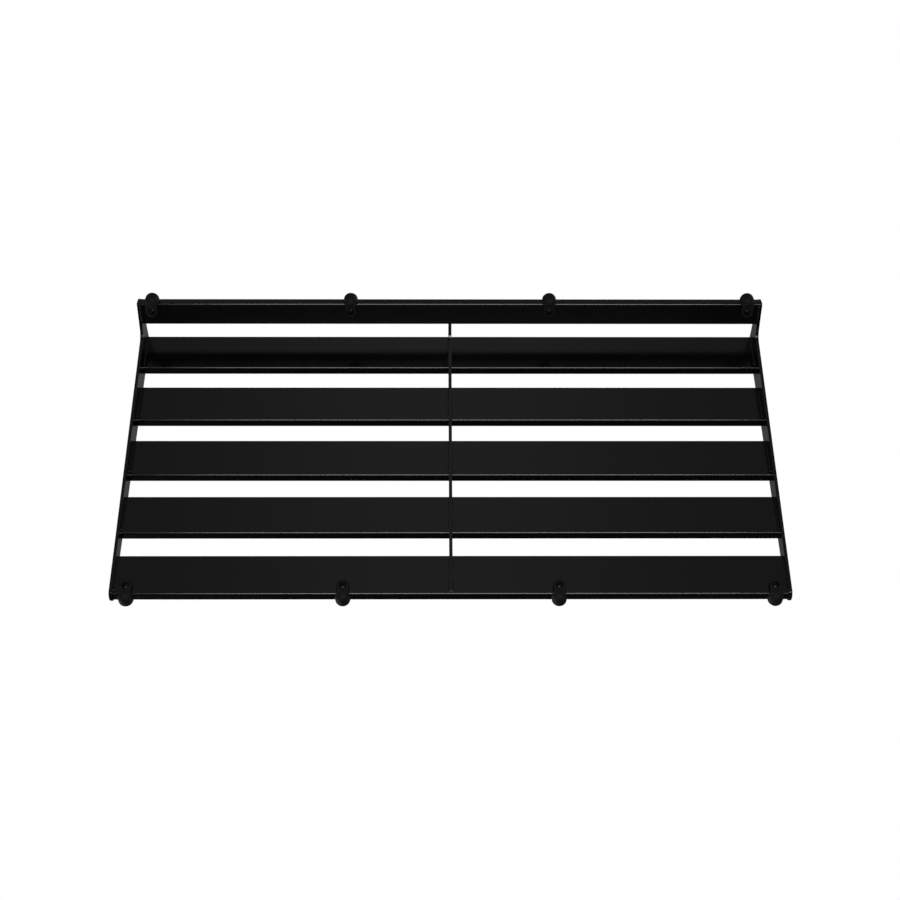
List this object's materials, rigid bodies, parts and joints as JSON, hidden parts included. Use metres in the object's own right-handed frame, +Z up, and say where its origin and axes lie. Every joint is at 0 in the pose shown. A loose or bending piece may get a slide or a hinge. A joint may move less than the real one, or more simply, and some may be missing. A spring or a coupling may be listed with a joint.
{
  "type": "pedalboard",
  "caption": "Low tilted stand of flat tubes between two bent side plates that carries effect pedals, with cable gaps, a rear leg rail and screwed-on rubber feet.",
  "frame": {"origin": "on the floor, under the middle of the board's box", "axes": "+X along the width, +Y to the raised rear edge, +Z up from the floor"},
  "size_m": [0.6, 0.3134, 0.0665],
  "materials": {
    "frame_coat": "black powder coat, satin to semi-gloss, fine orange peel",
    "foot_rubber": "matt moulded black rubber",
    "screw_black": "black zinc-plated steel",
    "washer_steel": "dark zinc-plated steel",
    "nut_zinc": "bright zinc-plated steel, hidden"
  },
  "bodies": {
    "root": {"side_plate_left": "frame_coat", "side_plate_right": "frame_coat", "centre_rib": "frame_coat", "deck_slat_1": "frame_coat", "deck_slat_2": "frame_coat", "deck_slat_3": "frame_coat", "deck_slat_4": "frame_coat", "deck_slat_5": "frame_coat", "rear_rail": "frame_coat", "foot_front_1": "foot_rubber", "foot_front_2": "foot_rubber", "foot_front_3": "foot_rubber", "foot_front_4": "foot_rubber", "foot_rear_1": "foot_rubber", "foot_rear_2": "foot_rubber", "foot_rear_3": "foot_rubber", "foot_rear_4": "foot_rubber", "foot_screw_front_1": "screw_black", "foot_screw_front_2": "screw_black", "foot_screw_front_3": "screw_black", "foot_screw_front_4": "screw_black", "foot_screw_rear_1": "screw_black", "foot_screw_rear_2": "screw_black", "foot_screw_rear_3": "screw_black", "foot_screw_rear_4": "screw_black", "foot_washer_front_1": "washer_steel", "foot_washer_front_2": "washer_steel", "foot_washer_front_3": "washer_steel", "foot_washer_front_4": "washer_steel", "foot_washer_rear_1": "washer_steel", "foot_washer_rear_2": "washer_steel", "foot_washer_rear_3": "washer_steel", "foot_washer_rear_4": "washer_steel", "rivet_nut_front_1": "nut_zinc", "rivet_nut_front_2": "nut_zinc", "rivet_nut_front_3": "nut_zinc", "rivet_nut_front_4": "nut_zinc", "rivet_nut_rear_1": "nut_zinc", "rivet_nut_rear_2": "nut_zinc", "rivet_nut_rear_3": "nut_zinc", "rivet_nut_rear_4": "nut_zinc"}
  },
  "joints": []
}
